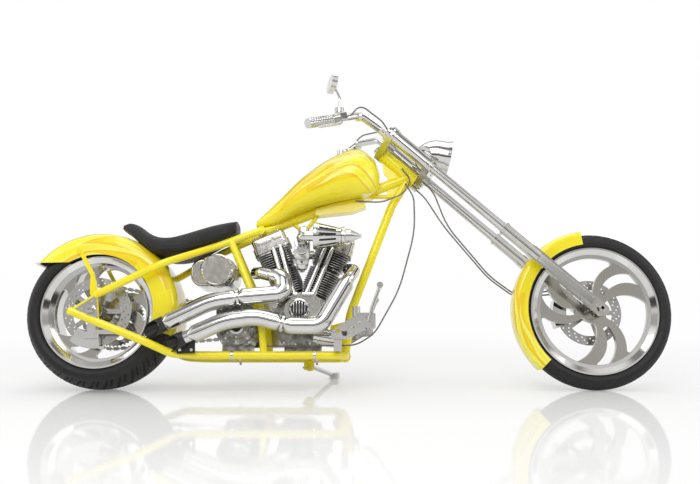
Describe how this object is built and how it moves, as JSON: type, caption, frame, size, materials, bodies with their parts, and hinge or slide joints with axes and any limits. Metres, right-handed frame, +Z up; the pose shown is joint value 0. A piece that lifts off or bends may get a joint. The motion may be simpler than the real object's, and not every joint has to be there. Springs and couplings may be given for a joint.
{
  "type": "chopper motorcycle",
  "caption": "Long-fork chopper motorcycle with a V-twin engine, steered front wheel, freely turning wheels, drive chain and folding side stand on which it leans.",
  "frame": {"origin": "on the road, at the middle of the length and the width of the parked motorcycle", "axes": "+X forward along the motorcycle, +Y to its left, +Z up; it leans left on its side stand"},
  "size_m": [2.8349, 0.8464, 1.3601],
  "materials": {
    "tyre": "dull black rubber",
    "chrome_rim": "polished",
    "disc_steel": "ground",
    "chrome": "polished",
    "yellow_paint": "high gloss yellow",
    "leather": "satin black",
    "alloy": "cast, part polished",
    "chain_steel": "bright links",
    "black_paint": "satin black",
    "mirror": "polished",
    "clear_glass": "clear",
    "cable": "braided"
  },
  "bodies": {
    "chassis": {"frame_backbone": "yellow_paint", "frame_downtube": "yellow_paint", "frame_rails": "yellow_paint", "frame_stays": "yellow_paint", "seat_posts": "yellow_paint", "rear_axle": "chrome", "rear_fender": "yellow_paint", "fender_struts": "yellow_paint", "fuel_tank": "yellow_paint", "seat": "leather", "crankcase": "alloy", "cam_cover": "chrome", "rear_cylinder": "alloy", "front_cylinder": "alloy", "rocker_boxes": "chrome", "pushrod_tubes": "chrome", "carburettor": "alloy", "air_cleaner": "chrome", "gearbox": "alloy", "primary_cover": "chrome", "drive_chain": "chain_steel", "oil_tank": "chrome", "oil_filter": "chrome", "rear_exhaust": "chrome", "front_exhaust": "chrome", "pipe_hanger": "black_paint", "rear_caliper": "chrome", "foot_controls": "chrome", "stand_bracket": "yellow_paint", "coil_box": "yellow_paint", "frame_cables": "cable"},
    "fork": {"triple_trees": "chrome", "fork_tubes": "chrome", "fork_lowers": "chrome", "front_axle": "chrome", "front_fender": "yellow_paint", "front_caliper": "chrome", "handlebar": "chrome", "grips": "chrome", "hand_controls": "chrome", "rear_mirror": "mirror", "headlamp": "chrome", "headlamp_lens": "clear_glass", "control_cables": "cable", "brake_hoses": "cable"},
    "front_wheel": {"front_tyre": "tyre", "front_rim": "chrome_rim", "front_disc": "disc_steel"},
    "rear_wheel": {"rear_tyre": "tyre", "rear_rim": "chrome_rim", "rear_disc": "disc_steel", "rear_sprocket": "chrome"},
    "stand": {"side_stand": "chrome"}
  },
  "joints": [
    {"name": "steering", "type": "hinge", "parent": "chassis", "child": "fork", "pos_m": [0.31835, -0.00261, 0.9042], "axis": [-0.749, 0.1208, 0.6515], "range_deg": [-28, 28]},
    {"name": "front_wheel_spin", "type": "hinge", "parent": "fork", "child": "front_wheel", "pos_m": [1.0725, -0.10717, 0.34006], "axis": [0, 0.9833, -0.1822], "continuous": true},
    {"name": "rear_wheel_spin", "type": "hinge", "parent": "chassis", "child": "rear_wheel", "pos_m": [-1.0875, -0.10947, 0.32766], "axis": [0, 0.9833, -0.1822], "continuous": true},
    {"name": "stand_fold", "type": "hinge", "parent": "chassis", "child": "stand", "pos_m": [-0.1875, 0.00419, 0.08488], "axis": [0.118, 0.3024, 0.9458], "range_deg": [0, 110]}
  ]
}
